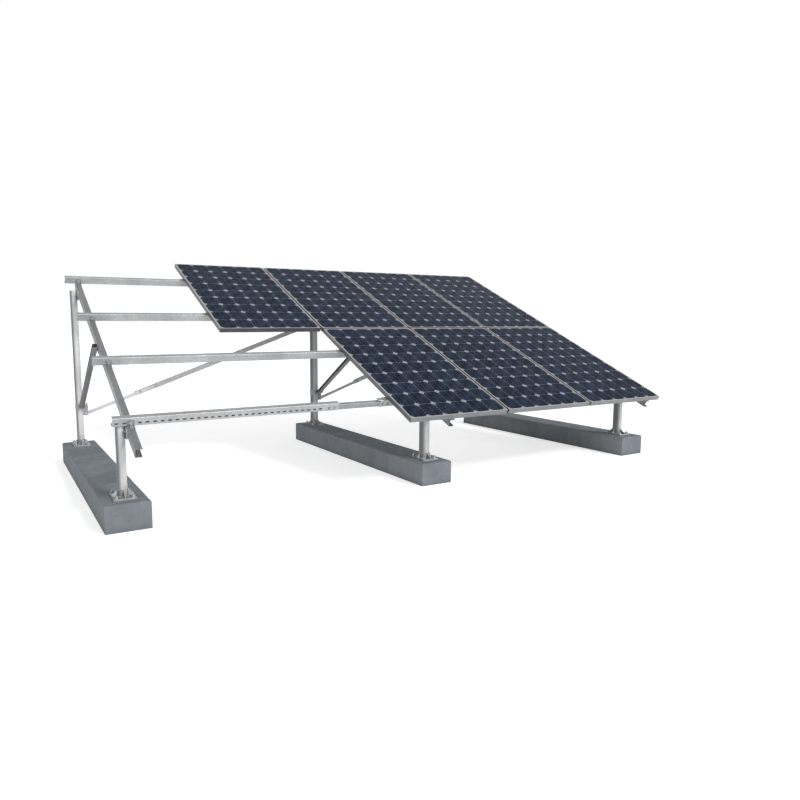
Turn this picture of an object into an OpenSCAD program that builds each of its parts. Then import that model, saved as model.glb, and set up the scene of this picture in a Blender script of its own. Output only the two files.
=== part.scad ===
// Ground mounted solar panel structure on three concrete strip footings.
// Lengths are in millimetres. X runs along the purlins, Y from the low front edge to the
// high rear edge, and Z up from the ground. The origin is under the middle of the structure.

/* [Array] */
// Slope of the module plane, in degrees
tilt = 24.2; // [20:0.1:28]
// Height of the modules' low front edge above the ground
eave_h = 627; // [600:1:680]
// Gap between neighbouring modules
module_gap = 20; // [10:1:30]
// Distance from the middle frame to the modules' right edge
array_right = 2595; // [2560:1:2620]

/* [Module] */
// Width of a module
module_w = 992; // [970:1:1010]
// Length of a module, up the slope
module_l = 1650; // [1620:1:1680]
// Depth of the module frame
module_t = 40; // [35:1:46]
// Wall of the frame extrusion
rail_wall = 1.8; // [1.4:0.1:2.4]
// Width of the frame's bottom flange
rail_flange = 28; // [26:1:34]
// Width of the lip that holds the laminate
rail_lip = 10; // [8:1:14]
// Depth of the hollow chamber under the laminate
rail_chamber = 14; // [10:1:18]
// Thickness of the glass, cells and backsheet together
laminate_t = 5; // [4:0.5:6]
// Sealant left between the laminate's edge and the frame's wall
laminate_play = 1; // [0.5:0.5:2]
// Width of the junction box
box_w = 110; // [90:5:130]
// Length of the junction box
box_l = 92; // [80:1:110]
// Depth of the junction box
box_t = 22; // [16:1:26]
// Distance from the module's upper edge to the junction box
box_inset = 120; // [100:5:160]

/* [Footings] */
// Distance between the support frames
frame_pitch = 2500; // [2470:5:2530]
// Width of a footing
footing_w = 300; // [270:5:330]
// Height of a footing
footing_h = 190; // [160:5:220]
// Length of a footing beyond the middle of each post
footing_end = 190; // [150:5:220]
// Chamfer along the footing's upper edges
footing_chamfer = 8; // [4:1:15]

/* [Posts] */
// Outer diameter of the posts at the left frame
post_d_left = 64; // [60:0.5:76]
// Outer diameter of the posts at the middle and right frames
post_d_main = 88.9; // [84:0.1:92]
// Wall of the post tube
post_wall = 3.6; // [2.5:0.1:5]
// Distance from the array's low edge to the front posts
front_setback = 415; // [400:5:430]
// Distance between the front and the rear post of a frame
post_spacing = 2180; // [2140:5:2210]
// Depth of a rear post's top below the rafter's upper face
rear_post_drop = 20; // [5:1:40]
// Space left between a front post's top and the purlin over it
post_play = 8; // [6:1:14]
// Thickness of the cap that closes a post
cap_t = 4; // [3:1:6]
// Drain hole in the base plate, under the post
drain_d = 40; // [30:2:50]
// Width of a base plate
base_w = 150; // [146:2:170]
// Length of a base plate
base_l = 200; // [190:2:220]
// Thickness of a base plate
base_t = 10; // [8:1:14]
// Height of the gussets on a base plate
gusset_h = 45; // [35:1:100]
// Thickness of the gussets
gusset_t = 6; // [5:1:10]
// Thickness of the head plate between post and rafter
head_t = 10; // [8:1:16]
// Depth to which the post is let into its head plate
head_sink = 4; // [3:0.5:5]
// Length of the head plate
head_l = 130; // [126:2:150]
// Depth of the head plate below the rafter's upper face
head_drop = 100; // [90:5:120]

/* [Channels] */
// Width of the purlin and strut channels
channel_w = 41; // [38:1:46]
// Width of the rafters
rafter_w = 47; // [41:1:52]
// Height of the purlins
purlin_h = 64; // [60:1:68]
// Height of the rafters
rafter_h = 66; // [60:1:70]
// Height of the struts
strut_h = 41; // [38:1:46]
// Wall of the channels
channel_wall = 2.5; // [2:0.5:3]
// Depth of the channels' inturned lips
channel_lip = 9; // [7:1:12]
// Outer radius of the channels' bends
channel_r = 5; // [4:0.5:6]
// Distance from the array's low edge to the rafter's end, along the slope
rafter_start = 78; // [60:2:110]
// Length of rafter beyond the ridge purlin
rafter_tail = 30; // [20:5:60]

/* [Purlins] */
// Place of the eave purlin, from the array's low edge along the slope
eave_v = 354; // [350:1:362]
// Place of the lower purlin
lower_v = 1232; // [1200:1:1260]
// Place of the upper purlin
upper_v = 2055; // [2030:1:2080]
// Place of the ridge purlin
ridge_v = 2923; // [2890:1:2950]
// Length of purlin beyond the middle of the left posts
purlin_left = 57; // [35:1:70]
// Length of purlin beyond the modules' right edge
purlin_right = 35; // [20:1:50]
// Distance between the slots of the eave purlin
slot_pitch = 50; // [48:1:60]
// Length of a slot
slot_l = 28; // [20:1:32]
// Width of a slot
slot_w = 13; // [9:1:16]
// Height of the slots above the purlin's lower face
slot_z = 24; // [22:1:30]
// Gap in the eave purlin that the splice channel bridges
splice_gap = 358; // [300:1:420]
// Place of the gap's left end, from the lower row's left edge
splice_left = 451; // [440:1:480]
// Length of splice channel inside each purlin length
splice_lap = 110; // [100:5:130]
// Width of the splice channel
splice_w = 34; // [30:1:35]
// Height of the splice channel
splice_h = 47; // [42:1:48]
// Length by which the web stops short of the flange at the gap
cope = 25; // [10:1:40]

/* [Brackets] */
// Leg of the cleats that hold the purlins
cleat_leg = 45; // [42:1:50]
// Thickness of the cleats
cleat_t = 5; // [4:1:6]
// Height of the stops at the modules' left edges
stop_h = 15; // [10:1:20]
// Length of the stops
stop_l = 40; // [36:1:50]
// Thickness of the stops
stop_t = 4; // [3:0.5:5]

/* [Struts and braces] */
// Height of the strut clamps' middle above the ground
strut_clamp_z = 562; // [550:2:580]
// Height of the strut's foot bolt above the middle of its clamp
strut_foot_rise = 26; // [20:1:34]
// Distance from the post's face to the strut's foot bolt
strut_foot_reach = 50; // [45:1:60]
// Place of the strut's head bolt, from the array's low edge along the slope
strut_head_v = 1610; // [1550:5:1660]
// Length of strut beyond its bolts
strut_end = 32; // [28:1:36]
// Height of the brace clamps' middle above the ground
brace_clamp_z = 1400; // [1380:2:1420]
// Height of the clamps' straps
clamp_h = 56; // [52:1:64]
// Thickness of the clamps
clamp_t = 5; // [4:0.5:6]
// Gap between a clamp's ears
clamp_gap = 2; // [1:0.5:4]
// Reach of a clamp's ears beyond the post
clamp_ear = 44; // [42:1:54]
// Depth of the ears below the strap, where a brace is held
ear_drop = 60; // [44:1:66]
// Thickness of the lug that carries a strut
lug_t = 6; // [5:0.5:8]
// Half the height of the lug at the strap
lug_root = 15; // [12:1:16]
// Length of the lug beyond the strut's foot bolt
lug_tip = 22; // [20:1:26]
// Height of the slim brace bar
bar_h = 32; // [28:1:36]
// Thickness of the slim brace bar
bar_t = 5; // [4:0.5:6]
// Leg of the brace angle
angle_leg = 42; // [38:1:50]
// Thickness of the brace angle
angle_t = 4; // [3:0.5:5]
// Place where the two lengths of a brace lap, as a share of its run
lap_place = 0.25; // [0.2:0.01:0.5]
// Length over which they lap
lap_l = 260; // [200:10:320]
// Length of a brace beyond its end bolts
brace_end = 18; // [16:1:24]

/* [Fasteners] */
// Diameter of the bolts in the channels, plates and braces
bolt_d = 12; // [10:1:14]
// Diameter of the bolts that hold the modules
module_bolt_d = 8; // [6:1:8]
// Diameter of the anchor bolts
anchor_d = 16; // [12:1:18]
// Depth of the anchor bolts in the concrete
anchor_depth = 120; // [100:5:140]
// Amount by which a bolt hole is wider than its bolt
hole_play = 1; // [0.5:0.5:2]

/* [Hidden] */

$fn = 48;
eps = 0.01;
more = 5;

// Colours
concrete = [0.47, 0.49, 0.50];
zinc = [0.72, 0.74, 0.75];
dark_zinc = [0.52, 0.54, 0.56];
alloy = [0.68, 0.67, 0.66];
cell_blue = [0.12, 0.16, 0.24];
box_black = [0.10, 0.10, 0.11];

// The array's plan and the two levels of steel under it, measured down from the glass
slope_l = 2 * module_l + module_gap;
y_eave = -(slope_l * cos(tilt) + module_t * sin(tilt)) / 2;
purlin_base = module_t + purlin_h;
rafter_mid = purlin_base + rafter_h / 2;

// Support frames: 0 left, 1 middle, 2 right
frames = [0, 1, 2];
frame_x = [-frame_pitch, 0, frame_pitch];
post_r = [post_d_left / 2, post_d_main / 2, post_d_main / 2];
front_y = y_eave + front_setback;
rear_y = front_y + post_spacing;
web_offset = head_t - head_sink;
function web_x(i) = frame_x[i] + post_r[i] + web_offset;
function rafter_x(i) = web_x(i) + rafter_w / 2;

// Modules: the upper row has four, the lower row three, and their right edges line up
pitch_x = module_w + module_gap;
seats = [[0, 1], [1, 1], [2, 1], [3, 1], [1, 0], [2, 0], [3, 0]];
function seat_x(s) = array_right - module_w - (3 - seats[s][0]) * pitch_x;
function seat_v(s) = seats[s][1] * (module_l + module_gap);
row_left = [seat_x(4), seat_x(0)];

// Purlins: 0 eave, 1 lower, 2 upper, 3 ridge
purlin_v = [eave_v, lower_v, upper_v, ridge_v];
purlin_x0 = -frame_pitch - purlin_left;
purlin_x1 = array_right + purlin_right;
gap_x0 = row_left[0] - splice_left;
gap_x1 = gap_x0 + splice_gap;

// Points of the slope's planes: v runs up the slope, off goes down from the glass
function slope_y(v, off) = y_eave + v * cos(tilt) + off * sin(tilt);
function slope_z(v, off) = eave_h + v * sin(tilt) - off * cos(tilt);
function plane_z(y, off) = eave_h + (y - y_eave) * tan(tilt) - off / cos(tilt);

// Bolts: across flats, head and nut heights and flange, all from the diameter
function flats(d) = 1.55 * d;
function head_h(d) = 0.6 * d;
function nut_h(d) = 0.8 * d;
function flange_d(d) = 2.1 * d;
function flange_t(d) = 0.18 * d;
hole_d = bolt_d + hole_play;
module_hole_d = module_bolt_d + hole_play;
bolt_edge = 15;
nut_play = 0.2;
thread_end = 3;
mitre_gap = 0.15;
gusset_in = [3, 5];

// Places of the fasteners
anchor_in = 21;
head_bolt_in = 20;
cleat_bolt_in = 17;
ear_bolt_in = 17;
head_bolt_y = head_l / 2 - head_bolt_in;
anchor_x = base_w / 2 - anchor_in;
anchor_y = base_l / 2 - anchor_in;
cleat_bolt_z = slot_z;
cleat_bolt_v = cleat_leg - cleat_bolt_in;
ear_top_z = clamp_h / 2 - bolt_edge;
ear_low_z = bolt_edge - clamp_h / 2 - ear_drop;
rail_bolt_x = rail_flange / 2;
splice_bolts = [30, 80];
lap_bolts = [-80, 80];
packer_d = 24;

// Ends of the struts and braces, as [y, z] and [x, z]
function strut_foot(i) = [rear_y - post_r[i] - strut_foot_reach, strut_clamp_z + strut_foot_rise];
strut_head = [slope_y(strut_head_v, rafter_mid), slope_z(strut_head_v, rafter_mid)];
// A brace runs from the strut clamp's lower right bolt to the next brace clamp's lower left one
function ear_x(i) = post_r[i] + clamp_ear - ear_bolt_in;
function brace_foot(i) = [frame_x[i] + ear_x(i), strut_clamp_z + ear_low_z];
function brace_top(i) = [frame_x[i + 1] - ear_x(i + 1), brace_clamp_z + ear_low_z];
ear_back = clamp_gap / 2 + clamp_t;
ear_grip = 2 * ear_back;
angle_y = rear_y + ear_back;
bar_y = angle_y + angle_t;

// General shapes

module in_slope() {
    translate([0, y_eave, eave_h]) rotate([tilt, 0, 0]) children();
}

// Turns an extrusion so that its profile stands in X and Z and its length runs along Y
module along_y(length) {
    translate([0, length, 0]) rotate([90, 0, 0]) linear_extrude(length) children();
}

// Turns an extrusion so that its profile stands in Y and Z and its length runs along X
module along_x(length) {
    rotate([90, 0, 90]) linear_extrude(length) children();
}

module round_rect(w, h, r) {
    translate([r, 0]) square([w - 2 * r, h]);
    translate([0, r]) square([w, h - 2 * r]);
    for (x = [r, w - r], y = [r, h - r]) translate([x, y]) circle(r);
}

// Lipped channel with its web along Y at x = 0 and its lips at x = w
module channel_profile(w, h) {
    inner_r = channel_r - channel_wall;
    mouth = h - 2 * channel_lip;
    difference() {
        round_rect(w, h, channel_r);
        translate([channel_wall, channel_wall])
            round_rect(w - 2 * channel_wall, h - 2 * channel_wall, inner_r);
        translate([w - channel_wall - eps, (h - mouth) / 2])
            square([channel_wall + more, mouth]);
    }
}

// Hole along Z through a plate that lies around z = 0
module hole(d, depth) {
    translate([0, 0, -depth / 2]) cylinder(d = d, h = depth);
}

module slot(length, width, depth) {
    run = (length - width) / 2;
    translate([-run, -width / 2, -depth / 2]) cube([2 * run, width, depth]);
    for (x = [-run, run]) translate([x, 0, 0]) hole(width, depth);
}

// Flanged bolt: the flange sits on z = 0, the head is below it and the shank above it
module flange_bolt(d, grip) {
    shank = grip + flange_t(d) + nut_h(d) + thread_end;
    translate([0, 0, -flange_t(d)]) cylinder(d = flange_d(d), h = flange_t(d));
    translate([0, 0, -flange_t(d) - head_h(d)])
        cylinder(d = flats(d) / cos(30), h = head_h(d) + eps, $fn = 6);
    translate([0, 0, -eps]) cylinder(d = d, h = shank + eps);
}

// Flanged nut that sits on z = 0
module flange_nut(d) {
    difference() {
        union() {
            cylinder(d = flange_d(d), h = flange_t(d));
            cylinder(d = flats(d) / cos(30), h = flange_t(d) + nut_h(d), $fn = 6);
        }
        translate([0, 0, -more]) cylinder(d = d + nut_play, h = nut_h(d) + 3 * more);
    }
}

// Places of the fasteners. Each puts its children at the bolt head's seat, with Z along the bolt,
// or at the nut's seat when a grip is given.

module at_head_bolts(i, grip = 0) {
    for (y0 = [front_y, rear_y], dy = [-head_bolt_y, head_bolt_y]) {
        y = y0 + dy;
        translate([frame_x[i] + post_r[i] - head_sink + grip, y, plane_z(y, rafter_mid)])
            rotate([0, 90, 0]) children();
    }
}

module at_strut_heads(i, grip = 0) {
    translate([web_x(i) - channel_wall + grip, strut_head[0], strut_head[1]])
        rotate([0, 90, 0]) children();
}

module at_strut_feet(i, grip = 0) {
    translate([web_x(i) - channel_wall + grip, strut_foot(i)[0], strut_foot(i)[1]])
        rotate([0, 90, 0]) children();
}

// Bolts through the ears on the given side of the strap whose middle is at height z. Where a
// brace is held, its own bolt takes the place of the lower one
module at_ear_bolts(i, z, side, brace, grip = 0) {
    for (dz = brace > 0 ? [ear_top_z] : [ear_low_z, ear_top_z])
        translate([frame_x[i] + side * ear_x(i), rear_y - ear_back + grip, z + dz])
            rotate([-90, 0, 0]) children();
}

module at_cleat_web_bolts(i, k, grip = 0) {
    in_slope() translate([rafter_x(i), purlin_v[k] - cleat_t + grip, cleat_bolt_z - purlin_base])
        rotate([-90, 0, 0]) children();
}

module at_cleat_rafter_bolts(i, k, grip = 0) {
    in_slope() translate([rafter_x(i), purlin_v[k] - cleat_bolt_v, cleat_t - purlin_base - grip])
        rotate([180, 0, 0]) children();
}

module at_splice_bolts(grip = 0) {
    left = [for (s = splice_bolts) gap_x0 - s];
    right = [for (s = splice_bolts) gap_x1 + cope + s];
    for (x = concat(left, right))
        in_slope() translate([x, purlin_v[0] + grip, cleat_bolt_z - purlin_base])
            rotate([-90, 0, 0]) children();
}

// Bolts through a module's bottom flanges into the two purlins under it
module at_module_bolts(s, grip = 0) {
    rows = seats[s][1] == 1 ? [2, 3] : [0, 1];
    for (k = rows, x = [rail_bolt_x, module_w - rail_bolt_x])
        in_slope() translate([seat_x(s) + x, purlin_v[k] + channel_w / 2, rail_wall - module_t - grip])
            rotate([180, 0, 0]) children();
}

module at_stop_bolts(k, grip = 0) {
    row = k < 2 ? 0 : 1;
    in_slope() translate([row_left[row] - stop_l * 0.55, purlin_v[k] + channel_w / 2, stop_t - module_t - grip])
        rotate([180, 0, 0]) children();
}

// Turns to the line of a brace: X runs along it from the foot bolt
module along_brace(i, y) {
    a = brace_foot(i);
    b = brace_top(i);
    translate([a[0], y, a[1]]) rotate([0, -atan2(b[1] - a[1], b[0] - a[0]), 0]) children();
}
function brace_run(i) = norm(brace_top(i) - brace_foot(i));
function lap_x(i) = lap_place * brace_run(i);

module at_brace_foot(i, grip = 0) {
    along_brace(i, rear_y - ear_back + grip) rotate([-90, 0, 0]) children();
}

module at_brace_top(i, grip = 0) {
    along_brace(i, rear_y - ear_back + grip)
        translate([brace_run(i), 0, 0]) rotate([-90, 0, 0]) children();
}

module at_lap_bolts(i, grip = 0) {
    for (s = lap_bolts)
        along_brace(i, angle_y + grip) translate([lap_x(i) + s, 0, 0]) rotate([-90, 0, 0]) children();
}

module at_anchors(i) {
    for (y = [front_y, rear_y], dx = [-anchor_x, anchor_x], dy = [-anchor_y, anchor_y])
        translate([frame_x[i] + dx, y + dy, footing_h]) children();
}

// Footings and posts

module footing(i) {
    length = post_spacing + 2 * footing_end;
    c = footing_chamfer;
    w = footing_w / 2;
    outline = [[-w, 0], [w, 0], [w, footing_h - c], [w - c, footing_h], [c - w, footing_h], [-w, footing_h - c]];
    color(concrete) difference() {
        translate([frame_x[i], front_y - footing_end, 0]) along_y(length) polygon(outline);
        at_anchors(i) translate([0, 0, -anchor_depth]) cylinder(d = anchor_d, h = anchor_depth + more);
    }
}

// Base plate with a gusset towards each side, cut to the round of the post
module post_base(r) {
    difference() {
        union() {
            translate([-base_w / 2, -base_l / 2, 0]) cube([base_w, base_l, base_t]);
            for (turn = [0, 180]) rotate([0, 0, turn]) gusset(r, base_w / 2 - gusset_in[0]);
            for (turn = [90, 270]) rotate([0, 0, turn]) gusset(r, base_l / 2 - gusset_in[1]);
        }
        translate([0, 0, base_t]) cylinder(r = r - post_wall / 2, h = gusset_h + more);
        hole(drain_d, 4 * base_t);
        for (dx = [-anchor_x, anchor_x], dy = [-anchor_y, anchor_y])
            translate([dx, dy, base_t / 2]) hole(anchor_d + hole_play, base_t + more);
    }
}

module gusset(r, reach) {
    toe = 12;
    crown = 4;
    outline = [[0, base_t - eps], [reach, base_t - eps], [reach, base_t + toe], [r + crown, base_t + gusset_h], [0, base_t + gusset_h]];
    translate([0, gusset_t / 2, 0]) rotate([90, 0, 0]) linear_extrude(gusset_t) polygon(outline);
}

// Plate on the post's right side that the rafter is bolted to; its top follows the slope
module head_plate(i, y, top) {
    half = head_l / 2;
    rise = half * tan(tilt);
    low = top - head_drop;
    outline = [[-half, low], [half, low], [half, top + rise], [-half, top - rise]];
    translate([frame_x[i] + post_r[i] - head_sink, y, 0])
        along_x(head_t) polygon(outline);
}

// Tube, cap and head plate welded to one piece; the base is welded under it
module post(i, y, top) {
    r = post_r[i];
    foot = footing_h + base_t;
    color(zinc) {
        translate([frame_x[i], y, footing_h]) post_base(r);
        difference() {
            union() {
                translate([frame_x[i], y, foot]) cylinder(r = r, h = top - foot);
                head_plate(i, y, plane_z(y, purlin_base) - post_play);
            }
            translate([frame_x[i], y, foot - more])
                cylinder(r = r - post_wall, h = top - foot - cap_t + more);
            at_head_bolts(i) hole(hole_d, 2 * head_t + 2);
        }
    }
}

// The front post ends under the eave purlin
module post_front(i) {
    post(i, front_y, plane_z(front_y - post_r[i], purlin_base) - post_play);
}

module post_rear(i) {
    post(i, rear_y, plane_z(rear_y, purlin_base) - rear_post_drop);
}

module anchor_bolts() {
    washer = flange_t(anchor_d);
    height = anchor_depth + base_t + washer + nut_h(anchor_d) + 3 * thread_end;
    color(zinc) for (i = frames)
        at_anchors(i) translate([0, 0, -anchor_depth]) cylinder(d = anchor_d, h = height);
}

module anchor_nuts() {
    color(zinc) for (i = frames) at_anchors(i) translate([0, 0, base_t]) flange_nut(anchor_d);
}

// Rafters, struts and their clamps

module rafter(i) {
    length = ridge_v + channel_w + rafter_tail - rafter_start;
    color(dark_zinc) difference() {
        in_slope() translate([web_x(i), rafter_start, -purlin_base - rafter_h])
            along_y(length) channel_profile(rafter_w, rafter_h);
        at_head_bolts(i, head_t) hole(hole_d, 4 * channel_wall);
        at_strut_heads(i, channel_wall) hole(hole_d, 4 * channel_wall);
        for (k = [0:3]) at_cleat_rafter_bolts(i, k, cleat_t) hole(hole_d, 4 * channel_wall);
    }
}

// Channel with its web on the right, against the rafter's web and the clamp's lug
module strut(i) {
    foot = strut_foot(i);
    run = norm(strut_head - foot);
    angle = atan2(strut_head[1] - foot[1], strut_head[0] - foot[0]);
    color(dark_zinc) difference() {
        translate([web_x(i), foot[0], foot[1]]) rotate([angle, 0, 0])
            translate([0, -strut_end, strut_h / 2]) rotate([0, 180, 0])
                along_y(run + 2 * strut_end) channel_profile(channel_w, strut_h);
        at_strut_heads(i) hole(hole_d, 4 * channel_wall);
        at_strut_feet(i) hole(hole_d, 4 * channel_wall);
    }
}

// Pipe strap with its middle at the origin. Its two ears meet on the side given, 1 for the
// right and -1 for the left, with a gap to draw together, and reach down past the strap
module strap(r, side) {
    reach = r + clamp_ear;
    difference() {
        union() {
            hole(2 * (r + clamp_t), clamp_h);
            translate([side > 0 ? 0 : -reach, -ear_back, -clamp_h / 2 - ear_drop])
                cube([reach, 2 * ear_back, clamp_h + ear_drop]);
            children();
        }
        hole(2 * r, 4 * clamp_h);
        translate([side > 0 ? 0 : -reach - more, -clamp_gap / 2, -2 * clamp_h])
            cube([reach + more, clamp_gap, 4 * clamp_h]);
    }
}

// Lug in front of the strap's ear, beside the strut's web
module strut_lug(i) {
    foot_y = strut_foot(i)[0] - rear_y;
    tip = foot_y - lug_tip;
    outline = [
        [-ear_back + eps, -lug_root], [tip, strut_foot_rise - lug_tip], [tip, strut_foot_rise + lug_root],
        [foot_y, strut_foot_rise + lug_tip], [-ear_back + eps, lug_root]
    ];
    translate([web_x(i) - frame_x[i], 0, 0]) along_x(lug_t) polygon(outline);
}

module strut_clamp(i) {
    brace_side = i < 2 ? 1 : 0;
    color(dark_zinc) difference() {
        translate([frame_x[i], rear_y, strut_clamp_z]) strap(post_r[i], 1) strut_lug(i);
        at_ear_bolts(i, strut_clamp_z, 1, brace_side, ear_back) hole(hole_d, 4 * ear_back);
        at_strut_feet(i, channel_wall) hole(hole_d, 4 * lug_t);
        if (i < 2) at_brace_foot(i, ear_back) hole(hole_d, 4 * ear_back);
    }
}

module brace_clamp(i) {
    color(dark_zinc) difference() {
        translate([frame_x[i], rear_y, brace_clamp_z]) strap(post_r[i], -1);
        at_ear_bolts(i, brace_clamp_z, -1, 1, ear_back) hole(hole_d, 4 * ear_back);
        at_brace_top(i - 1, ear_back) hole(hole_d, 4 * ear_back);
    }
}

// Slim bar from the foot of a brace to its lap
module brace_bar(i) {
    length = lap_x(i) + lap_l / 2 + brace_end;
    color(zinc) difference() {
        along_brace(i, bar_y) translate([-brace_end, 0, -bar_h / 2]) cube([length, bar_t, bar_h]);
        at_brace_foot(i, ear_grip) hole(hole_d, 12 * clamp_t);
        at_lap_bolts(i) hole(hole_d, 12 * clamp_t);
    }
    color(zinc) along_brace(i, angle_y) rotate([-90, 0, 0]) difference() {
        cylinder(d = packer_d, h = angle_t - eps);
        hole(hole_d, 4 * angle_t);
    }
}

// Angle from the lap to the top of a brace, with its flange behind the top edge
module brace_angle(i) {
    start = lap_x(i) - lap_l / 2;
    length = brace_run(i) + brace_end - start;
    half = angle_leg / 2;
    outline = [[0, -half], [angle_t, -half], [angle_t, half - angle_t], [angle_leg, half - angle_t], [angle_leg, half], [0, half]];
    color(zinc) difference() {
        along_brace(i, angle_y) translate([start, 0, 0]) along_x(length) polygon(outline);
        at_brace_top(i, ear_grip) hole(hole_d, 12 * clamp_t);
        at_lap_bolts(i) hole(hole_d, 4 * angle_t);
    }
}

// Purlins

// Plain purlin k from x0 to x1, with the web on its low side
module purlin_blank(k, x0, x1) {
    in_slope() translate([x0, purlin_v[k], -purlin_base])
        along_x(x1 - x0) channel_profile(channel_w, purlin_h);
}

module purlin_holes(k) {
    for (i = frames) at_cleat_web_bolts(i, k, cleat_t) hole(hole_d, 4 * channel_wall);
    for (s = [0:6]) at_module_bolts(s, rail_wall) hole(module_hole_d, 4 * channel_wall);
    at_stop_bolts(k, stop_t) hole(module_hole_d, 4 * channel_wall);
}

module purlin(k) {
    color(zinc) difference() {
        purlin_blank(k, purlin_x0, purlin_x1);
        purlin_holes(k);
    }
}

// Slots between x0 and x1, left out where they would run into a cleat's bolt
module eave_slots(x0, x1) {
    margin = slot_l;
    count = floor((x1 - x0 - 2 * margin) / slot_pitch);
    clear = slot_l / 2 + hole_d;
    for (n = [0:count]) {
        x = x0 + margin + n * slot_pitch;
        near = [for (i = frames) if (abs(rafter_x(i) - x) < clear) i];
        if (len(near) == 0)
            in_slope() translate([x, purlin_v[0], slot_z - purlin_base])
                rotate([-90, 0, 0]) slot(slot_l, slot_w, 4 * channel_wall);
    }
}

module purlin_eave_left() {
    color(zinc) difference() {
        purlin_blank(0, purlin_x0, gap_x0);
        purlin_holes(0);
        at_splice_bolts(channel_wall) hole(hole_d, 4 * channel_wall);
        eave_slots(purlin_x0, gap_x0 - splice_lap);
    }
}

// The right length starts with its upper flange alone, past the coped web
module purlin_eave_right() {
    color(zinc) difference() {
        purlin_blank(0, gap_x1, purlin_x1);
        in_slope() translate([gap_x1 - more, purlin_v[0] - more, -purlin_base - more])
            cube([cope + more, channel_w + 2 * more, purlin_h - channel_r + more]);
        purlin_holes(0);
        at_splice_bolts(channel_wall) hole(hole_d, 4 * channel_wall);
        eave_slots(gap_x1 + cope + splice_lap, purlin_x1);
    }
}

// Smaller channel inside the purlin, against its web and its lower flange
module splice_channel() {
    x0 = gap_x0 - splice_lap;
    length = splice_gap + cope + 2 * splice_lap;
    color(dark_zinc) difference() {
        in_slope() translate([x0, purlin_v[0] + channel_wall, channel_wall - purlin_base])
            along_x(length) channel_profile(splice_w, splice_h);
        at_splice_bolts(channel_wall) hole(hole_d, 4 * channel_wall);
    }
}

// Angle that stands on the rafter and holds the purlin's web
module cleat(i, k) {
    in_slope() translate([web_x(i), purlin_v[k] - cleat_leg, -purlin_base]) {
        cube([rafter_w, cleat_leg, cleat_t]);
        translate([0, cleat_leg - cleat_t, 0]) cube([rafter_w, cleat_t, cleat_leg]);
    }
}

module purlin_cleats() {
    color(dark_zinc) for (i = frames, k = [0:3]) difference() {
        cleat(i, k);
        at_cleat_web_bolts(i, k) hole(hole_d, 4 * cleat_t);
        at_cleat_rafter_bolts(i, k) hole(hole_d, 4 * cleat_t);
    }
}

// Low angle on the purlin that the side of the first module bears on
module end_stop(k) {
    row = k < 2 ? 0 : 1;
    in_slope() translate([row_left[row] - stop_l, purlin_v[k], -module_t]) {
        cube([stop_l, channel_w, stop_t]);
        translate([stop_l - stop_t, 0, 0]) cube([stop_t, channel_w, stop_h]);
    }
}

module end_stops() {
    color(alloy) for (k = [0:3]) difference() {
        end_stop(k);
        at_stop_bolts(k) hole(module_hole_d, 4 * stop_t);
    }
}

// Modules

// Section of the frame: outer wall at x = 0, top at y = 0, with lip, groove, chamber and flange
module rail_profile() {
    w = rail_wall;
    groove = w + laminate_t;
    chamber = groove + w + rail_chamber;
    translate([0, -module_t]) {
        square([w, module_t]);
        translate([0, module_t - w]) square([rail_lip, w]);
        translate([0, module_t - groove - w]) square([rail_lip, w]);
        translate([rail_lip - w, module_t - chamber - w]) square([w, rail_chamber + 2 * w]);
        translate([0, module_t - chamber - w]) square([rail_lip, w]);
        square([rail_flange, w]);
    }
}

// Rail of the given length along Y with both ends mitred
module rail(length) {
    difference() {
        along_y(length) rail_profile();
        mitre();
        translate([0, length, 0]) mirror([0, 1, 0]) mitre();
    }
}

// Removes what lies on the far side of the corner's diagonal, with a hairline for the joint
module mitre() {
    size = 3 * rail_flange;
    translate([0, mitre_gap, -size]) rotate([0, 0, 45]) translate([-size, -size, 0])
        cube([2 * size, size, 2 * size]);
}

module module_frame(s) {
    color(alloy) difference() {
        in_slope() translate([seat_x(s), seat_v(s), 0]) {
            rail(module_l);
            translate([module_w, module_l, 0]) rotate([0, 0, 180]) rail(module_l);
            translate([module_w, 0, 0]) rotate([0, 0, 90]) rail(module_w);
            translate([0, module_l, 0]) rotate([0, 0, -90]) rail(module_w);
        }
        at_module_bolts(s) hole(module_hole_d, 4 * rail_wall);
    }
}

module laminate(s) {
    inset = rail_wall + laminate_play;
    color(cell_blue) in_slope()
        translate([seat_x(s) + inset, seat_v(s) + inset, -rail_wall - laminate_t])
            cube([module_w - 2 * inset, module_l - 2 * inset, laminate_t]);
}

// Box on the laminate's back with a raised lid and two cable inlets
module junction_box(s) {
    lid = 3;
    rim = 6;
    inlet_d = 14;
    inlet_l = 16;
    depth = box_t - lid;
    color(box_black) in_slope()
        translate([seat_x(s) + module_w / 2, seat_v(s) + module_l - box_inset, -rail_wall - laminate_t]) {
            translate([-box_w / 2, -box_l, -depth]) linear_extrude(depth) round_rect(box_w, box_l, rim);
            translate([-box_w / 2 + rim, -box_l + rim, -box_t])
                linear_extrude(lid + eps) round_rect(box_w - 2 * rim, box_l - 2 * rim, rim);
            for (x = [-box_w / 4, box_w / 4]) translate([x, -box_l + eps, -depth / 2])
                rotate([90, 0, 0]) difference() {
                    cylinder(d = inlet_d, h = inlet_l);
                    translate([0, 0, inlet_l / 2]) cylinder(d = inlet_d / 2, h = inlet_l);
                }
        }
}

// Fasteners

web_grip = cleat_t + channel_wall;
splice_grip = 2 * channel_wall;
foot_grip = ear_grip + angle_t + bar_t;
top_grip = ear_grip + angle_t;
lap_grip = angle_t + bar_t;

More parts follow.
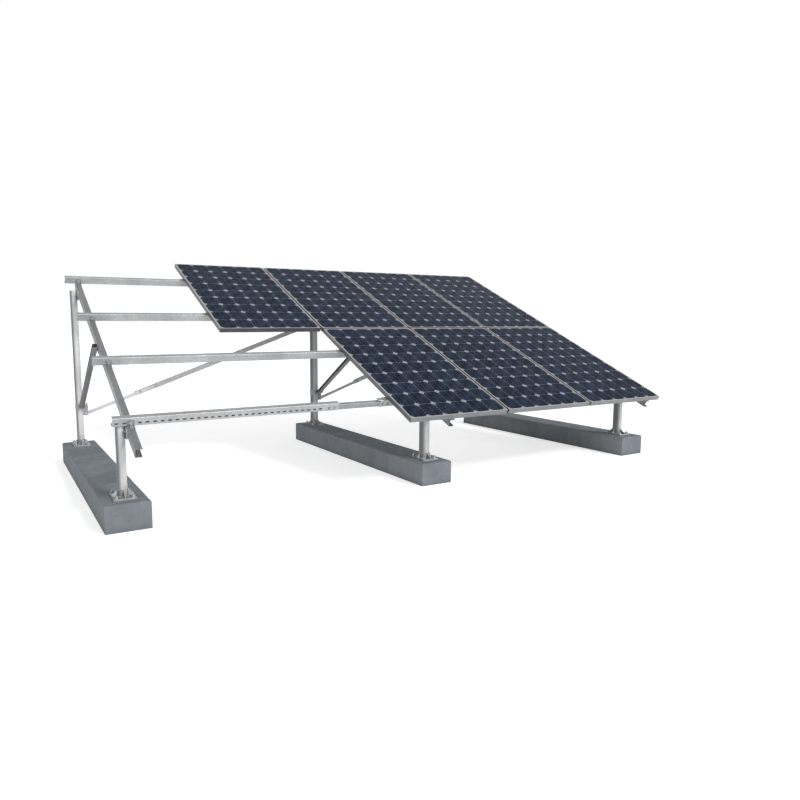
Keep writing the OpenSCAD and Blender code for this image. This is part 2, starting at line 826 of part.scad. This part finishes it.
module frame_bolts() {
    color(zinc) {
        for (i = frames) {
            at_head_bolts(i) flange_bolt(bolt_d, head_t + channel_wall);
            at_strut_heads(i) flange_bolt(bolt_d, 2 * channel_wall);
            at_strut_feet(i) flange_bolt(bolt_d, channel_wall + lug_t);
            at_ear_bolts(i, strut_clamp_z, 1, i < 2 ? 1 : 0) flange_bolt(bolt_d, ear_grip);
            for (k = [0:3]) {
                at_cleat_web_bolts(i, k) flange_bolt(bolt_d, web_grip);
                at_cleat_rafter_bolts(i, k) flange_bolt(bolt_d, web_grip);
            }
        }
        for (i = [1, 2]) at_ear_bolts(i, brace_clamp_z, -1, 1) flange_bolt(bolt_d, ear_grip);
        for (i = [0, 1]) {
            at_brace_foot(i) flange_bolt(bolt_d, foot_grip);
            at_brace_top(i) flange_bolt(bolt_d, top_grip);
            at_lap_bolts(i) flange_bolt(bolt_d, lap_grip);
        }
        at_splice_bolts() flange_bolt(bolt_d, splice_grip);
    }
}

module frame_nuts() {
    color(zinc) {
        for (i = frames) {
            at_head_bolts(i, head_t + channel_wall) flange_nut(bolt_d);
            at_strut_heads(i, 2 * channel_wall) flange_nut(bolt_d);
            at_strut_feet(i, channel_wall + lug_t) flange_nut(bolt_d);
            at_ear_bolts(i, strut_clamp_z, 1, i < 2 ? 1 : 0, ear_grip) flange_nut(bolt_d);
            for (k = [0:3]) {
                at_cleat_web_bolts(i, k, web_grip) flange_nut(bolt_d);
                at_cleat_rafter_bolts(i, k, web_grip) flange_nut(bolt_d);
            }
        }
        for (i = [1, 2]) at_ear_bolts(i, brace_clamp_z, -1, 1, ear_grip) flange_nut(bolt_d);
        for (i = [0, 1]) {
            at_brace_foot(i, foot_grip) flange_nut(bolt_d);
            at_brace_top(i, top_grip) flange_nut(bolt_d);
            at_lap_bolts(i, lap_grip) flange_nut(bolt_d);
        }
        at_splice_bolts(splice_grip) flange_nut(bolt_d);
    }
}

module module_bolts() {
    color(zinc) {
        for (s = [0:6]) at_module_bolts(s) flange_bolt(module_bolt_d, rail_wall + channel_wall);
        for (k = [0:3]) at_stop_bolts(k) flange_bolt(module_bolt_d, stop_t + channel_wall);
    }
}

module module_nuts() {
    color(zinc) {
        for (s = [0:6]) at_module_bolts(s, rail_wall + channel_wall) flange_nut(module_bolt_d);
        for (k = [0:3]) at_stop_bolts(k, stop_t + channel_wall) flange_nut(module_bolt_d);
    }
}

footing(0);  // footing_left
footing(1);  // footing_middle
footing(2);  // footing_right
post_front(0);  // post_front_left
post_front(1);  // post_front_middle
post_front(2);  // post_front_right
post_rear(0);  // post_rear_left
post_rear(1);  // post_rear_middle
post_rear(2);  // post_rear_right
anchor_bolts();
anchor_nuts();
rafter(0);  // rafter_left
rafter(1);  // rafter_middle
rafter(2);  // rafter_right
strut(0);  // strut_left
strut(1);  // strut_middle
strut(2);  // strut_right
strut_clamp(0);  // strut_clamp_left
strut_clamp(1);  // strut_clamp_middle
strut_clamp(2);  // strut_clamp_right
brace_clamp(1);  // brace_clamp_middle
brace_clamp(2);  // brace_clamp_right
brace_bar(0);  // brace_bar_left
brace_angle(0);  // brace_angle_left
brace_bar(1);  // brace_bar_right
brace_angle(1);  // brace_angle_right
purlin(3);  // purlin_ridge
purlin(2);  // purlin_upper
purlin(1);  // purlin_lower
purlin_eave_left();
purlin_eave_right();
splice_channel();
purlin_cleats();
end_stops();
module_frame(0);  // module_frame_1
module_frame(1);  // module_frame_2
module_frame(2);  // module_frame_3
module_frame(3);  // module_frame_4
module_frame(4);  // module_frame_5
module_frame(5);  // module_frame_6
module_frame(6);  // module_frame_7
laminate(0);  // laminate_1
laminate(1);  // laminate_2
laminate(2);  // laminate_3
laminate(3);  // laminate_4
laminate(4);  // laminate_5
laminate(5);  // laminate_6
laminate(6);  // laminate_7
junction_box(0);  // junction_box_1
junction_box(1);  // junction_box_2
junction_box(2);  // junction_box_3
junction_box(3);  // junction_box_4
junction_box(4);  // junction_box_5
junction_box(5);  // junction_box_6
junction_box(6);  // junction_box_7
frame_bolts();
frame_nuts();
module_bolts();
module_nuts();
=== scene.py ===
"""Looks of the ground mounted solar panel structure. Lengths are in metres."""

import math

import bmesh
import bpy
from mathutils import Matrix, Vector


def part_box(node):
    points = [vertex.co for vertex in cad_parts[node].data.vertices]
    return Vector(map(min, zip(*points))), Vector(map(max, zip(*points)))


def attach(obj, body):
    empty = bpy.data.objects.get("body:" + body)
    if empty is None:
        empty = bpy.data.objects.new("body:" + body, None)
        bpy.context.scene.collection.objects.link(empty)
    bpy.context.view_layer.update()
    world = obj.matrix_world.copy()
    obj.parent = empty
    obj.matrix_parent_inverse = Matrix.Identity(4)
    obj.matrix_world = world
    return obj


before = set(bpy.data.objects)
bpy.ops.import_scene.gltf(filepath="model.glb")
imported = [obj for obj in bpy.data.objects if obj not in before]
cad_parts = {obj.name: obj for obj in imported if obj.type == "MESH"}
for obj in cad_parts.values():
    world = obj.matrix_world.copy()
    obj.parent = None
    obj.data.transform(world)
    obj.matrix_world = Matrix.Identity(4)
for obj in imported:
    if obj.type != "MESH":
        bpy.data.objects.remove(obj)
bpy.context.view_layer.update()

SIDES = ("left", "middle", "right")
ENDS = ("front", "rear")
UPPER_ROW = (1, 2, 3, 4)
LOWER_ROW = (5, 6, 7)
MODULES = UPPER_ROW + LOWER_ROW


# ---- Places, read from the frame ----

def low(node):
    return Vector(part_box(node)[0])


def high(node):
    return Vector(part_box(node)[1])


def centre(node):
    return (low(node) + high(node)) / 2


# Module 2 stands above module 5 in the same column, and 1 beside 2 in the same row
row_step = low("module_frame_2") - low("module_frame_5")
TILT = math.atan2(row_step.z, row_step.y)
ROW_PITCH = math.hypot(row_step.y, row_step.z)
COLUMN_PITCH = low("module_frame_2").x - low("module_frame_1").x
MODULE_WIDTH = high("module_frame_1").x - low("module_frame_1").x
MODULE_LEFT = low("module_frame_1").x


def along_slope(point):
    return point.y * math.cos(TILT) + point.z * math.sin(TILT)


def above_slope(point):
    return point.z * math.cos(TILT) - point.y * math.sin(TILT)


laminate_points = [vertex.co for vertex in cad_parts["laminate_5"].data.vertices]
LAMINATE_START = min(along_slope(point) for point in laminate_points)
LAMINATE_LENGTH = max(along_slope(point) for point in laminate_points) - LAMINATE_START
LAMINATE_MIDDLE = sum(above_slope(point) for point in laminate_points) / len(laminate_points)
EDGE_COVER = low("laminate_1").x - MODULE_LEFT

# Heights on a post: its gussets stand on the base plate, and its head plate is sunk a little
# into the tube and welded down from the top
BASE_TOP = low("anchor_nuts").z
GUSSET_TOP = BASE_TOP + 0.045
HEAD_SINK = 0.004
HEAD_WELD = 0.075


# ---- Shader maths ----

class Value:
    """A socket's value, so that shader maths can be written as an expression."""

    def __init__(self, shader, socket):
        self.shader = shader
        self.socket = socket

    def math(self, operation, *others):
        sockets = dict(enumerate((self,) + others))
        return self.shader.node("Math", {"operation": operation}, sockets)

    def __add__(self, other):
        return self.math("ADD", other)

    def __sub__(self, other):
        return self.math("SUBTRACT", other)

    def __rsub__(self, other):
        return self.shader.node("Math", {"operation": "SUBTRACT"}, {0: other, 1: self})

    def __mul__(self, other):
        return self.math("MULTIPLY", other)

    def __truediv__(self, other):
        return self.math("DIVIDE", other)

    def __abs__(self):
        return self.math("ABSOLUTE")

    __radd__ = __add__

    def below(self, limit):
        return self.math("LESS_THAN", limit)

    def above(self, limit):
        return self.math("GREATER_THAN", limit)

    def wrap(self, period):
        return self.math("FLOORED_MODULO", period)

    def floor(self):
        return self.math("FLOOR")

    def sine(self):
        return self.math("SINE")

    def spread(self, low_end, high_end, low_out=0.0, high_out=1.0):
        """Takes the stretch from low_end to high_end to low_out and high_out, and clamps it."""
        return self.shader.node("MapRange", {"clamp": True}, {
            "Value": self, "From Min": low_end, "From Max": high_end,
            "To Min": low_out, "To Max": high_out})


class Shader:
    """The node tree of one material or of the world."""

    def __init__(self, tree):
        self.tree = tree
        tree.nodes.clear()

    def node(self, kind, settings=None, sockets=None, out=None):
        made = self.tree.nodes.new("ShaderNode" + kind)
        for name, setting in (settings or {}).items():
            setattr(made, name, setting)
        for name, value in (sockets or {}).items():
            if isinstance(name, int):
                socket = made.inputs[name]
            else:
                socket = next(s for s in made.inputs if s.name == name and s.enabled)
            if isinstance(value, Value):
                self.tree.links.new(value.socket, socket)
            else:
                socket.default_value = value
        outputs = [s for s in made.outputs if s.enabled and out in (None, s.name)]
        return Value(self, outputs[0])

    def place(self, tilt=0.0):
        """The piece's own coordinates, turned so that Y runs up a slope of that tilt."""
        own = self.node("TexCoord", out="Object")
        return self.node("Mapping", None, {"Vector": own, "Rotation": (-tilt, 0, 0)})

    def stretched(self, vector, scale):
        return self.node("Mapping", None, {"Vector": vector, "Scale": scale})

    def axes(self, vector):
        return [self.node("SeparateXYZ", None, {"Vector": vector}, out=axis) for axis in "XYZ"]

    def facing(self):
        """How far a face looks to the right, to the rear and up, each from -1 to 1."""
        return self.axes(self.node("NewGeometry", out="Normal"))

    def noise(self, vector, scale, detail, roughness=0.55):
        sockets = {"Vector": vector, "Scale": scale, "Detail": detail, "Roughness": roughness}
        return self.node("TexNoise", None, sockets, out="Fac")

    def crystals(self, vector, scale, out="Color"):
        return self.node("TexVoronoi", None, {"Vector": vector, "Scale": scale}, out=out)

    def mix(self, factor, first, second):
        return self.node("Mix", {"data_type": "RGBA"}, {"Factor": factor, "A": first, "B": second})

    def bump(self, height, distance, strength):
        sockets = {"Height": height, "Distance": distance, "Strength": strength}
        return self.node("Bump", None, sockets)

    def finish(self, surface, kind="OutputMaterial"):
        made = self.tree.nodes.new("ShaderNode" + kind)
        self.tree.links.new(surface.socket, made.inputs["Surface"])


def rgb(red, green, blue):
    """A colour given as it looks on a screen, 0 to 255, as the shader's linear colour."""
    def linear(level):
        level /= 255
        return level / 12.92 if level <= 0.04045 else ((level + 0.055) / 1.055) ** 2.4
    return (linear(red), linear(green), linear(blue), 1.0)


def new_material(name):
    material = bpy.data.materials.new(name)
    material.use_nodes = True
    return material, Shader(material.node_tree)


def principled(shader, sockets):
    shader.finish(shader.node("BsdfPrincipled", None, sockets))


# ---- Materials ----

# A dust grey that is also painted shade on upper faces
DUST_AND_SHADE = rgb(104, 104, 102)
CEMENT = rgb(128, 130, 131)
# Darker zinc that is painted shade on faces that look to the left
LEFT_SHADE_ZINC = rgb(116, 119, 124)
SPLASH_REACH = 0.11
THREAD_PITCH = 0.002


def galvanised(name, pale, dull, tilt=0.0, grain=(1, 1, 1), crystal=90.0, metal=0.45, splash=0.0,
               left_shade_amount=0.0):
    """Zinc coated steel: crystals, a faint grain along the strip, dull patches, and on its
    upper faces dust that is also painted shade. With splash there is cement just above the
    footings, and the last argument paints shade, a darker zinc, on faces that look left."""
    material, shader = new_material(name)
    place = shader.place(tilt)
    crystals = shader.crystals(place, crystal)
    facets = shader.node("SeparateColor", None, {"Color": crystals}, out="Red")
    patches = shader.noise(place, 3.5, 4).spread(0.35, 0.68)
    streaks = shader.noise(shader.stretched(place, grain), 60, 2).spread(0.3, 0.7)
    tone = facets * 0.32 + patches * 0.48 + streaks * 0.2
    specks = shader.noise(place, 420, 2)
    relief = facets * 0.3 + streaks * 0.25 + specks * 0.45
    rightward, _, upward = shader.facing()
    # Painted shade: faces that look to the left are mixed towards a darker zinc
    painted_left_shade = rightward.spread(-0.35, -0.8) * left_shade_amount
    # Dust on faces that look up makes them darker, duller and rougher; the darkening is also
    # painted shade
    dust_and_top_shade = upward.spread(0.5, 0.9) * shader.noise(place, 11, 4).spread(0.2, 0.6, 0.6, 1.0)
    spots = shader.noise(place, 38, 4).spread(0.35, 0.6, 0.3, 1.0)
    height = shader.axes(place)[2]
    cement = height.spread(BASE_TOP, BASE_TOP + SPLASH_REACH, 1.0, 0.0) * spots * splash
    colour = shader.mix(tone, dull, pale)
    colour = shader.mix(painted_left_shade, colour, LEFT_SHADE_ZINC)
    colour = shader.mix(cement, colour, CEMENT)
    principled(shader, {
        "Base Color": shader.mix(dust_and_top_shade * 0.55, colour, DUST_AND_SHADE),
        "Metallic": (1 - dust_and_top_shade * 0.5) * metal,
        "Roughness": 0.54 - facets * 0.1 - patches * 0.08 + dust_and_top_shade * 0.2,
        "Normal": shader.bump(relief, 0.0006, 0.35),
    })
    return material


def zinc_plated():
    """Bright plated fasteners, with thread marks along the upright anchor bolts."""
    material, shader = new_material("zinc_plated_fasteners")
    place = shader.place()
    thread = (shader.axes(place)[2] * (2 * math.pi / THREAD_PITCH)).sine()
    smudge = shader.noise(place, 35, 3).spread(0.3, 0.7)
    principled(shader, {
        "Base Color": shader.mix(smudge, rgb(140, 142, 144), rgb(190, 192, 193)),
        "Metallic": 0.85,
        "Roughness": 0.28 + smudge * 0.16,
        "Normal": shader.bump(thread, 0.0003, 0.5),
    })
    return material


def weld_metal():
    """Weld beads under the zinc: lumpy and duller than the plates."""
    material, shader = new_material("galvanised_weld")
    place = shader.place()
    lumps = shader.noise(place, 160, 2)
    principled(shader, {
        "Base Color": shader.mix(lumps.spread(0.3, 0.7), rgb(140, 142, 144), rgb(176, 178, 179)),
        "Metallic": 0.4,
        "Roughness": 0.4 + lumps * 0.2,
        "Normal": shader.bump(lumps, 0.002, 0.8),
    })
    return material


def cast_concrete():
    """Grey precast concrete: cloudy tone, fine sand, air holes, a damp foot, and painted light
    that makes the long sides paler."""
    hole_size, damp_height = 0.11, 0.05
    material, shader = new_material("cast_concrete")
    place = shader.place()
    clouds = shader.noise(place, 4.5, 5, 0.6).spread(0.3, 0.72)
    sand = shader.noise(place, 260, 3, 0.7)
    stains = shader.noise(shader.stretched(place, (1, 1, 0.3)), 14, 4).spread(0.42, 0.75)
    distance = shader.crystals(place, 34, out="Distance")
    hole = distance.below(hole_size) * shader.noise(place, 9, 2).above(0.52)
    foot = shader.axes(place)[2].spread(0.0, damp_height, 1.0, 0.0)
    rightward, _, _ = shader.facing()
    # Painted light: faces that look to either side are paler
    painted_side_light = abs(rightward).spread(0.6, 0.9)
    tone = shader.mix(clouds, rgb(111, 117, 123), rgb(135, 142, 149))
    tone = shader.mix(painted_side_light * 0.4, tone, rgb(162, 167, 171))
    tone = shader.mix(sand.spread(0.35, 0.65) * 0.35, tone, rgb(158, 163, 168))
    tone = shader.mix(stains * 0.3, tone, rgb(96, 99, 102))
    tone = shader.mix(foot * 0.35, tone, rgb(84, 87, 90))
    tone = shader.mix(hole * 0.75, tone, rgb(58, 61, 64))
    relief = sand * 0.5 + clouds * 0.4 - hole * 1.4
    principled(shader, {
        "Base Color": tone,
        "Roughness": 0.86 + sand * 0.1,
        "Specular IOR Level": 0.12,
        "Normal": shader.bump(relief, 0.0035, 0.6),
    })
    return material


def anodised(name, painted_front_dark, painted_front_pale):
    """Satin anodised aluminium with the drawing lines of an extrusion. Its colour is painted by
    which way a face looks: painted light on the tops, painted shade on the sides and undersides,
    and a painted light or shade for each row on the rails that face the front."""
    material, shader = new_material(name)
    place = shader.place(TILT)
    lines = shader.noise(shader.stretched(place, (1, 1, 12)), 45, 2)
    cloud = shader.noise(place, 5, 3).spread(0.35, 0.65)
    tone = cloud * 0.5 + lines * 0.4
    # Painted shade: faces that do not look to the front take this darker tone
    side = shader.mix(tone, rgb(84, 87, 91), rgb(120, 122, 125))
    # The front rails take their row's painted light or shade
    front = shader.mix(tone, painted_front_dark, painted_front_pale)
    _, rearward, upward = shader.facing()
    rail_light_and_shade = shader.mix(rearward.spread(-0.7, -0.85), side, front)
    # Painted light: faces that look up are mixed towards a pale beige
    painted_top_light = upward.spread(0.6, 0.9)
    principled(shader, {
        "Base Color": shader.mix(painted_top_light * 0.75, rail_light_and_shade, rgb(190, 187, 182)),
        "Metallic": 0.45,
        "Roughness": 0.36 + lines * 0.14,
        "Normal": shader.bump(lines, 0.0003, 0.3),
    })
    return material


def black_plastic():
    """Moulded plastic with a fine grain."""
    material, shader = new_material("black_box_plastic")
    grain = shader.noise(shader.place(TILT), 900, 2)
    principled(shader, {
        "Base Color": shader.mix(grain, rgb(24, 24, 26), rgb(40, 40, 42)),
        "Roughness": 0.45 + grain * 0.15,
        "Normal": shader.bump(grain, 0.0004, 0.4),
    })
    return material


def cell_field(shader, across, up):
    """The front of a module: silver lines and blue cells with cut corners on a pale sheet."""
    columns, rows = 6, 9
    side_margin, end_margin = 0.014, 0.012
    cell_gap, corner_cut = 0.002, 0.027
    bar_count, bar_width = 3, 0.0018
    finger_pitch, finger_width = 0.0025, 0.0003
    width = (MODULE_WIDTH - 2 * side_margin) / columns
    length = (LAMINATE_LENGTH + 2 * EDGE_COVER - 2 * end_margin) / rows
    module_start = LAMINATE_START - EDGE_COVER

    # Distance from the first cell's corner, then from the middle of each cell
    u = (across - MODULE_LEFT).wrap(COLUMN_PITCH) - side_margin
    v = (up - module_start).wrap(ROW_PITCH) - end_margin
    u_off = abs(u.wrap(width) - width / 2)
    v_off = abs(v.wrap(length) - length / 2)
    half_u, half_v = (width - cell_gap) / 2, (length - cell_gap) / 2
    field = u.above(0) * u.below(columns * width) * v.above(0) * v.below(rows * length)
    cell = field * u_off.below(half_u) * v_off.below(half_v)
    cell = cell * (u_off + v_off).below(half_u + half_v - corner_cut)

    # Silver bars run up the module and cross the cells; the fingers lie across them
    bar_step = width / bar_count
    bar = abs(u.wrap(bar_step) - bar_step / 2).below(bar_width / 2) * field
    finger = abs(v.wrap(finger_pitch) - finger_pitch / 2).below(finger_width / 2) * cell

    # Every cell has a slightly different blue, and a painted sheen, a stripe of reflected light,
    # that runs across it
    index = shader.node("CombineXYZ", None, {
        "X": ((across - MODULE_LEFT) / COLUMN_PITCH).floor() * columns + (u / width).floor(),
        "Y": ((up - module_start) / ROW_PITCH).floor() * rows + (v / length).floor(),
        "Z": 0.5})
    shade = shader.node("TexWhiteNoise", None, {"Vector": index}, out="Value")
    painted_sheen = abs((u - v).wrap(width) / width * 2 - 1)
    blue = shader.mix(shade * 0.35 + painted_sheen * 0.65, rgb(9, 17, 34), rgb(37, 50, 70))
    front = shader.mix(cell, rgb(152, 157, 167), blue)
    front = shader.mix(finger * 0.25, front, rgb(120, 128, 140))
    return shader.mix(bar * 0.4, front, rgb(140, 146, 155))


def cells_under_glass():
    """Cells under textured glass in front, and a slightly grimy white backsheet behind."""
    material, shader = new_material("cells_under_glass")
    place = shader.place(TILT)
    across, up, out = shader.axes(place)
    is_front = out.above(LAMINATE_MIDDLE)
    grime = shader.noise(place, 7, 4).spread(0.4, 0.75)
    back = shader.mix(grime, rgb(226, 227, 226), rgb(212, 213, 212))
    principled(shader, {
        "Base Color": shader.mix(is_front, back, cell_field(shader, across, up)),
        "Roughness": 0.45 - is_front * 0.27 + grime * 0.08,
        "IOR": 1.05,
        "Normal": shader.bump(shader.noise(place, 600, 1), 0.0002, 0.15),
    })
    return material


# ---- Pieces ----

def add_piece(shape, name, material):
    """Makes a smooth mesh of the shape. It rides on the structure's one body."""
    bmesh.ops.recalc_face_normals(shape, faces=shape.faces)
    mesh = bpy.data.meshes.new(name)
    shape.to_mesh(mesh)
    shape.free()
    mesh.materials.append(material)
    for face in mesh.polygons:
        face.use_smooth = True
    piece = bpy.data.objects.new(name, mesh)
    bpy.context.scene.collection.objects.link(piece)
    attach(piece, "root")


def add_ring(shape, middle, radius, thickness):
    """A round bead about an upright axis."""
    turn = Matrix.Rotation(math.pi / 2, 4, "X")
    start = Matrix.Translation(middle + Vector((radius, 0, 0))) @ turn
    section = bmesh.ops.create_circle(shape, segments=8, radius=thickness, matrix=start)
    edges = list({edge for vertex in section["verts"] for edge in vertex.link_edges})
    bmesh.ops.spin(shape, geom=section["verts"] + edges, cent=middle, axis=(0, 0, 1),
                   angle=2 * math.pi, steps=40, use_merge=True)


def add_bead(shape, start, end, thickness):
    """A straight bead with rounded ends."""
    run = end - start
    turn = Vector((0, 0, 1)).rotation_difference(run).to_matrix().to_4x4()
    size = Matrix.Diagonal((thickness, thickness, run.length / 2, 1))
    place = Matrix.Translation((start + end) / 2) @ turn @ size
    bmesh.ops.create_icosphere(shape, subdivisions=2, radius=1.0, matrix=place)


def tube_size(node):
    """A post's radius and the height of its top, from the tube's left side above the gussets."""
    side_depth = 0.003
    points = [vertex.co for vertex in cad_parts[node].data.vertices]
    points = [point for point in points if point.z > GUSSET_TOP]
    left = min(point.x for point in points)
    top = max(point.z for point in points if point.x < left + side_depth)
    return centre(node).x - left, top


def weld_post(end, side, material):
    """The beads of one post: round its foot and cap, on its gussets and on its head plate."""
    foot_bead, cap_bead, head_bead, gusset_bead = 0.0045, 0.003, 0.004, 0.0036
    stand_off, cap_drop = 0.001, 0.002
    gusset_flank, gusset_inset = 0.005, 0.006
    node = "post_%s_%s" % (end, side)
    middle = centre(node)
    middle.z = BASE_TOP
    radius, tube_top = tube_size(node)
    plate = (high(node) - low(node)) / 2
    shape = bmesh.new()
    add_ring(shape, middle, radius + stand_off, foot_bead)
    cap = Vector((middle.x, middle.y, tube_top - cap_drop))
    add_ring(shape, cap, radius - stand_off, cap_bead)

    # The head plate is let into the tube, and is welded on both of its flanks
    plate_x = radius - HEAD_SINK
    flank_y = math.sqrt(radius ** 2 - plate_x ** 2)
    for y in (-flank_y - stand_off, flank_y + stand_off):
        start = Vector((middle.x + plate_x, middle.y + y, tube_top - HEAD_WELD))
        add_bead(shape, start, start + Vector((0, 0, HEAD_WELD - head_bead)), head_bead)

    # One gusset towards each side of the base plate
    rise = Vector((0, 0, GUSSET_TOP - BASE_TOP))
    for angle, reach in ((0, plate.x), (90, plate.y), (180, plate.x), (270, plate.y)):
        out = Vector((math.cos(math.radians(angle)), math.sin(math.radians(angle)), 0))
        aside = Vector((-out.y, out.x, 0)) * gusset_flank
        for flank in (aside, -aside):
            root = middle + flank + out * radius
            tip = middle + flank + out * (reach - gusset_inset)
            add_bead(shape, root, tip, gusset_bead)
            add_bead(shape, root, root + rise, gusset_bead)
    add_piece(shape, "welds_%s_%s" % (end, side), material)


# ---- Stage ----

FLOOR_PAINT = (0.86, 0.86, 0.86, 1)
FLOOR_GLOW = 0.56
SKY_LIGHT = 0.42
SKY_GLOW = 0.6
LIT_POINT = Vector((0, 0, 0.6))


def seen_rays(shader):
    """1 for rays from the camera, a reflection or clear glass, and 0 for rays that give light."""
    rays = ("Is Camera Ray", "Is Glossy Ray", "Is Transmission Ray")
    camera, glossy, clear = [shader.node("LightPath", out=ray) for ray in rays]
    return (camera + glossy + clear).math("MINIMUM", 1.0)


def white_floor():
    """Pale floor that keeps soft shadows and shows white to the camera and in reflections."""
    material, shader = new_material("white_floor")
    paint = shader.node("BsdfDiffuse", None, {"Color": FLOOR_PAINT})
    glow = shader.node("Emission", None, {
        "Color": (1, 1, 1, 1), "Strength": seen_rays(shader) * FLOOR_GLOW})
    shader.finish(shader.node("AddShader", None, {0: paint, 1: glow}))

    shape = bmesh.new()
    bmesh.ops.create_grid(shape, x_segments=1, y_segments=1, size=60.0)
    mesh = bpy.data.meshes.new("floor")
    shape.to_mesh(mesh)
    shape.free()
    mesh.materials.append(material)
    floor = bpy.data.objects.new("floor", mesh)
    bpy.context.scene.collection.objects.link(floor)


def studio_world():
    """Even pale light; the camera and reflections see plain white."""
    world = bpy.data.worlds.new("studio")
    bpy.context.scene.world = world
    world.use_nodes = True
    shader = Shader(world.node_tree)
    sky = {"Color": (1, 1, 1, 1), "Strength": SKY_LIGHT + seen_rays(shader) * SKY_GLOW}
    shader.finish(shader.node("Background", None, sky), "OutputWorld")


def add_sun(name, place, energy, softness):
    """A far light from that side of the structure. Its softness is its width in degrees."""
    light = bpy.data.lights.new(name, "SUN")
    light.energy = energy
    light.angle = math.radians(softness)
    lamp = bpy.data.objects.new(name, light)
    lamp.location = place
    lamp.rotation_euler = (LIT_POINT - Vector(place)).to_track_quat("-Z", "Y").to_euler()
    bpy.context.scene.collection.objects.link(lamp)


def add_camera():
    """The camera that the corners of the modules and footings in the photograph give."""
    data = bpy.data.cameras.new("camera")
    data.sensor_width = 36.0
    data.lens = 29.25
    data.shift_x = 0.0475
    camera = bpy.data.objects.new("camera", data)
    camera.location = (-3.2485, -5.6478, 1.3705)
    camera.rotation_euler = (math.radians(90 - 6.871), 0, math.radians(-30.037))
    bpy.context.scene.collection.objects.link(camera)
    bpy.context.scene.camera = camera


# ---- Dressing ----

def dress(nodes, material):
    """Gives CAD nodes their finish."""
    for node in nodes:
        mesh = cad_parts[node].data
        mesh.materials.clear()
        mesh.materials.append(material)


def named(pattern, words):
    return [pattern % word for word in words]


posts = ["post_%s_%s" % (end, side) for end in ENDS for side in SIDES]
braces = ["brace_%s_%s" % (bar, side) for bar in ("bar", "angle") for side in ("left", "right")]
purlins = ["purlin_ridge", "purlin_upper", "purlin_lower", "purlin_eave_left", "purlin_eave_right"]
clamps = named("strut_clamp_%s", SIDES) + ["brace_clamp_middle", "brace_clamp_right"]
fasteners = ["anchor_bolts", "anchor_nuts", "frame_bolts", "frame_nuts",
             "module_bolts", "module_nuts"]

# The grain of rolled strip and drawn tube is long in the piece's own direction
along_x, along_slope_y, along_z = (0.05, 1, 1), (1, 0.05, 1), (1, 1, 0.05)
# The posts get painted shade on the sides that look to the left
post_steel = galvanised("post_zinc", rgb(225, 225, 226), rgb(200, 201, 203),
                        grain=along_z, metal=0.08, splash=0.75, left_shade_amount=1.0)
purlin_steel = galvanised("purlin_zinc", rgb(206, 207, 208), rgb(162, 164, 166),
                          tilt=TILT, grain=along_x, crystal=110)
rafter_steel = galvanised("rafter_zinc", rgb(152, 155, 158), rgb(118, 121, 125),
                          tilt=TILT, grain=along_slope_y, crystal=110)
bracket_steel = galvanised("bracket_zinc", rgb(172, 175, 178), rgb(132, 135, 138), crystal=130)
brace_steel = galvanised("brace_zinc", rgb(218, 219, 220), rgb(190, 192, 194),
                         grain=along_x, metal=0.15)
# Lit and shaded copies of one finish: painted shade darkens the upper row's front rails, painted
# light brightens the lower row's
shaded_upper_frame = anodised("anodised_upper_row_painted_shade", rgb(66, 69, 73), rgb(100, 102, 105))
lit_lower_frame = anodised("anodised_lower_row_painted_light", rgb(116, 119, 123), rgb(152, 154, 157))

dress(named("footing_%s", SIDES), cast_concrete())
dress(posts, post_steel)
dress(named("rafter_%s", SIDES) + named("strut_%s", SIDES), rafter_steel)
dress(purlins, purlin_steel)
dress(clamps + ["purlin_cleats", "splice_channel"], bracket_steel)
dress(braces, brace_steel)
dress(fasteners, zinc_plated())
dress(named("module_frame_%d", UPPER_ROW) + ["end_stops"], shaded_upper_frame)
dress(named("module_frame_%d", LOWER_ROW), lit_lower_frame)
dress(named("laminate_%d", MODULES), cells_under_glass())
dress(named("junction_box_%d", MODULES), black_plastic())

welds = weld_metal()
for end in ENDS:
    for side in SIDES:
        weld_post(end, side, welds)

white_floor()
studio_world()
add_sun("key", (2.2, -5.2, 5.0), 1.35, 12)
add_sun("low_right", (3.5, -6, 1.8), 0.75, 10)
add_sun("left_fill", (-6, -2.5, 3.2), 0.5, 16)
add_camera()
bpy.context.scene.view_settings.view_transform = "Standard"
